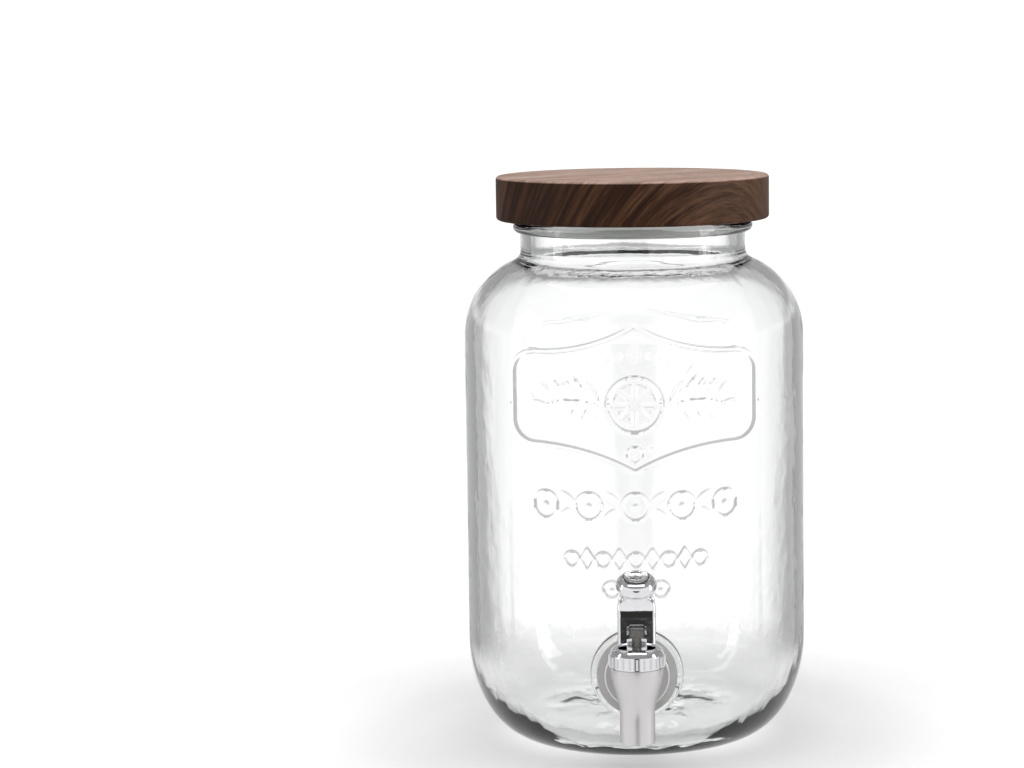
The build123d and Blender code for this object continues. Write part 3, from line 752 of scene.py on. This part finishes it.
# %% Glass
def glass_paint():
    paint = Paint("jar glass")
    slow = paint.noise(paint.place(), 34.0, 2.0, 0.5)
    fine = paint.noise(paint.place((1, 1, 0.6)), 160.0, 2.0, 0.5)
    height = slow * 0.75 + fine * 0.25
    shader = paint.node(
        "ShaderNodeBsdfPrincipled",
        {},
        {
            "Base Color": (1.0, 1.0, 1.0, 1.0),
            "Roughness": (fine * 0.01).clamp(),
            "IOR": 1.5,
            "Transmission Weight": 1.0,
            "Normal": paint.bump(height, 0.00035, 0.6),
        },
    )
    body = paint.node(
        "ShaderNodeVolumeAbsorption", {}, {"Color": (0.64, 0.72, 0.70, 1.0), "Density": 10.0}
    )
    paint.node("ShaderNodeOutputMaterial", {}, {"Surface": shader, "Volume": body})
    return paint.material


jar.data.materials.append(glass_paint())
# the jar casts no shadow; its contact shadow is painted on the floor instead
jar.visible_shadow = False

# %% [markdown]
# The lid is a disc turned from one dark board, with a plug underneath that holds the seal. Turning
# leaves crisp faces and slightly softened edges, so its profile is a few straight runs joined by
# small arcs.

# %% Lid
lid_radius, lid_top = lid_high.x / MM, lid_high.z / MM
plug_bottom = lid_low.z / MM
lid_base = rim_height + 0.3
lid_round = 1.6
plug_radius = mouth_radius - 3.0
groove = (plug_radius - 2.4, lid_base - 1.2, lid_base - 4.8)


def lid_profile():
    points = [(0, plug_bottom), (20, plug_bottom), (plug_radius - 4, plug_bottom)]
    points += [(plug_radius - lid_round, plug_bottom), (plug_radius, plug_bottom + lid_round)]
    points += [(plug_radius, groove[2]), (groove[0], groove[2]), (groove[0], groove[1])]
    points += [(plug_radius, groove[1]), (plug_radius, lid_base), (plug_radius + 1, lid_base)]
    points += [(55, lid_base)]
    points += arc((lid_radius - lid_round, lid_base + lid_round), lid_round, -90, 0, 6)
    points += [(lid_radius, lid_base + 5), (lid_radius, lid_base + 10), (lid_radius, lid_top - 5)]
    points += arc((lid_radius - lid_round, lid_top - lid_round), lid_round, 0, 90, 7)
    points += [(58, lid_top), (40, lid_top), (20, lid_top), (0, lid_top)]
    return points


lid = lathe("lid_wood", lid_profile(), 256)
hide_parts("wooden_lid")
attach(lid, "lid")


# %% Wood
growth_way = np.array([-0.566, 0.674, 0.475])
length_way = np.cross(growth_way, (0.0, 0.0, 1.0))
length_way /= np.linalg.norm(length_way)
third_way = np.cross(growth_way, length_way)


def grain_space(paint, across, along):
    """The point measured across the growth layers and along them: noise there turns to streaks."""
    spot = paint.place()
    parts = {}
    measures = ((growth_way, across), (length_way, along), (third_way, along))
    for index, (way, scale) in enumerate(measures):
        entries = {0: spot, 1: tuple(float(v) for v in way)}
        reach = paint.node("ShaderNodeVectorMath", {"operation": "DOT_PRODUCT"}, entries, output=1)
        parts[index] = reach * scale
    return paint.node("ShaderNodeCombineXYZ", {}, parts)


def wood_paint():
    """Dark walnut: streaked growth layers, fine pores, a paler patch at one side and a paler top.

    The top and the rim are lit and shaded copies of one wood: the pale top is painted light and
    the far darker rim is painted shade.
    """
    paint = Paint("oiled dark wood")
    streak = paint.noise(grain_space(paint, 430.0, 16.0), 1.0, 6.0, 0.66, 0.5)
    bands = paint.noise(grain_space(paint, 62.0, 7.0), 1.0, 3.0, 0.5, 0.7)
    pores = paint.noise(grain_space(paint, 2200.0, 130.0), 1.0, 3.0, 0.6)
    cloud = paint.noise(paint.place(), 26.0, 3.0)
    mixture = (streak * 0.62 + bands * 0.38).clamp()
    # painted shade: the rim's tones are far darker than the wood itself
    shaded_rim_tone = paint.ramp(
        mixture,
        [
            (0.36, (0.010, 0.0040, 0.0020)),
            (0.47, (0.027, 0.0105, 0.0048)),
            (0.55, (0.058, 0.0250, 0.0115)),
            (0.65, (0.100, 0.0460, 0.0220)),
        ],
    )
    # painted light: the top's tones are the same wood made much paler
    lit_top_tone = paint.ramp(
        mixture,
        [
            (0.34, (0.20, 0.120, 0.090)),
            (0.46, (0.36, 0.240, 0.190)),
            (0.56, (0.46, 0.320, 0.260)),
            (0.66, (0.56, 0.410, 0.340)),
        ],
    )
    sideways, height = (paint.axis(paint.place(), letter) for letter in "XZ")
    uneven_edge = (cloud - 0.5) * 0.5 + (streak - 0.5) * 0.8
    patch_of_sapwood = paint.ramp(sideways * 8.0 + uneven_edge, [(0.12, 0.0), (0.50, 1.0)])
    shaded_rim_tone = paint.blend(patch_of_sapwood * 0.72, shaded_rim_tone, (0.125, 0.068, 0.042, 1.0))
    # painted light and shade: the top takes the pale lit tones, the rim the dark shaded ones
    is_top = ((height - (lid_top - 1.1) * MM) * 1800.0).clamp()
    tone = paint.blend(is_top, shaded_rim_tone, lit_top_tone)
    pore = paint.ramp(pores, [(0.40, 1.0), (0.52, 0.0)])
    tone = paint.blend(pore * 0.45, tone, (0.016, 0.008, 0.006, 1.0))
    relief = streak * 0.4 + pores * 0.6
    return paint.finish(
        Base_Color=tone,
        Roughness=(streak * -0.15 + 0.58).clamp(),
        Specular_IOR_Level=0.09,
        Normal=paint.bump(relief, 0.00016, 0.5),
    )


lid.data.materials.append(wood_paint())

# %% [markdown]
# The tap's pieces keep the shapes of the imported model; only their finishes are made here. Plating
# over moulded plastic is a mirror with a very faint orange peel, a little softer on the barrel than
# on the lever and the bonnet ring.

# %% Plated, rubber, steel and plastic finishes
def plated_paint(name, roughness, tint):
    paint = Paint(name)
    peel = paint.noise(paint.place(), 420.0, 2.0, 0.5)
    haze = paint.noise(paint.place(), 90.0, 4.0, 0.6)
    return paint.finish(
        Base_Color=(*tint, 1.0),
        Metallic=1.0,
        Roughness=(haze * 0.06 + roughness).clamp(),
        Normal=paint.bump(peel, 0.00004, 0.35),
    )


def rubber_paint(name, tint, depth):
    paint = Paint(name)
    dust = paint.noise(paint.place(), 260.0, 4.0, 0.6)
    tone = paint.blend(dust * depth, (*tint, 1.0), (0.82, 0.82, 0.80, 1.0))
    return paint.finish(
        Base_Color=tone,
        Roughness=(dust * 0.25 + 0.35).clamp(),
        Subsurface_Weight=0.25,
        Subsurface_Radius=(0.004, 0.004, 0.004),
        Normal=paint.bump(dust, 0.0001, 0.3),
    )


def steel_paint():
    paint = Paint("stainless steel")
    lines = paint.noise(paint.place((400.0, 400.0, 3000.0)), 1.0, 3.0)
    return paint.finish(
        Base_Color=(0.58, 0.57, 0.56, 1.0),
        Metallic=1.0,
        Roughness=(lines * 0.2 + 0.2).clamp(),
        Normal=paint.bump(lines, 0.00003, 0.4),
    )


def moulded_paint(name, tint, roughness, clear):
    paint = Paint(name)
    grain = paint.noise(paint.place(), 700.0, 3.0)
    swirl = paint.noise(paint.place(), 60.0, 3.0)
    tone = paint.blend((swirl * 0.4).clamp(), (*tint, 1.0), tuple(c * 0.8 for c in tint) + (1.0,))
    return paint.finish(
        Base_Color=tone,
        Roughness=(grain * 0.12 + roughness).clamp(),
        Transmission_Weight=clear,
        IOR=1.49,
        Normal=paint.bump(grain, 0.00005, 0.3),
    )


mirror = plated_paint("mirror plating", 0.03, (0.80, 0.80, 0.82))
satin = plated_paint("soft plating", 0.26, (0.66, 0.645, 0.65))
silicone = rubber_paint("grey silicone", (0.40, 0.41, 0.40), 0.35)
clear_silicone = rubber_paint("pale silicone", (0.78, 0.79, 0.77), 0.3)
steel = steel_paint()
white = moulded_paint("white moulding", (0.80, 0.80, 0.77), 0.35, 0.0)
smoke = moulded_paint("smoky moulding", (0.42, 0.41, 0.38), 0.22, 0.45)

finishes = {
    "lever": mirror,
    "bonnet_ring": mirror,
    "tap_body": satin,
    "lid_seal": clear_silicone,
    "outer_washer": silicone,
    "inner_washer": silicone,
    "bonnet_seal": silicone,
    "stem_seal": silicone,
    "seat_cup": silicone,
    "plate_washer": steel,
    "pivot_pin": steel,
    "shank_nut": white,
    "valve_stem": smoke,
    "stem_guide": smoke,
}
for node, finish in finishes.items():
    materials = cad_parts[node].data.materials
    materials.clear()
    materials.append(finish)
print("finished nodes:", ", ".join(sorted(finishes)))

# %% [markdown]
# The return spring is the one hard piece that changes length: the stem pushes it together from
# below. It is drawn as a coil of its own with the imported spring's sizes, at its full length; its
# length with the valve open is only worked out and printed.

# %% Return spring
stem_rise = 2.6
spring_wire = 0.45
spring_turns = 4.5


def coil(name, centre, radius, wire, low, high, turns):
    """A round wire along a helix whose middle runs from the height low to the height high.

    The middle of the wire is (cx + R cos t, cy + R sin t, low + k t). Around it, each ring of the
    wire is w (outward cos a + across sin a), with across square to outward and to the wire.
    """
    turn = np.linspace(0, 2 * np.pi * turns, round(40 * turns) + 1)[:, None]
    around = np.linspace(0, 2 * np.pi, 12, endpoint=False)[None, :, None]
    climb = (high - low) / (2 * np.pi * turns)
    outward = np.stack([np.cos(turn), np.sin(turn), 0 * turn], axis=-1)
    along = np.stack([-radius * np.sin(turn), radius * np.cos(turn), climb + 0 * turn], axis=-1)
    across = np.cross(along, outward) / math.hypot(radius, climb)
    middle = radius * outward + np.stack([0 * turn, 0 * turn, climb * turn], axis=-1)
    middle = middle + np.array([*centre, low])
    points = middle + wire * (outward * np.cos(around) + across * np.sin(around))
    numbers = np.arange(points[..., 0].size).reshape(points.shape[:2])
    ends = [middle[0, 0], middle[-1, 0]]
    faces = capped_faces(numbers, numbers.size, numbers.size + 1)
    return mesh_object(name, np.vstack([points.reshape(-1, 3), ends]), faces, 50.0)


spring_low, spring_high = (np.array(corner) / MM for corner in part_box("return_spring"))
spring_middle = (spring_low + spring_high)[:2] / 2
spring_reach = (spring_high - spring_low)[0] / 2 - spring_wire
spring_ends = (spring_low[2] + spring_wire, spring_high[2] - spring_wire)
spring = coil("steel_coil", spring_middle, spring_reach, spring_wire, *spring_ends, spring_turns)
spring.data.materials.append(steel)
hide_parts("return_spring")
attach(spring, "jar")
spring_length = spring_high[2] - spring_low[2]
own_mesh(spring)
open_length = spring_length - stem_rise
print(f"spring {spring_length:.2f} mm long, {open_length:.2f} mm when the valve is open")
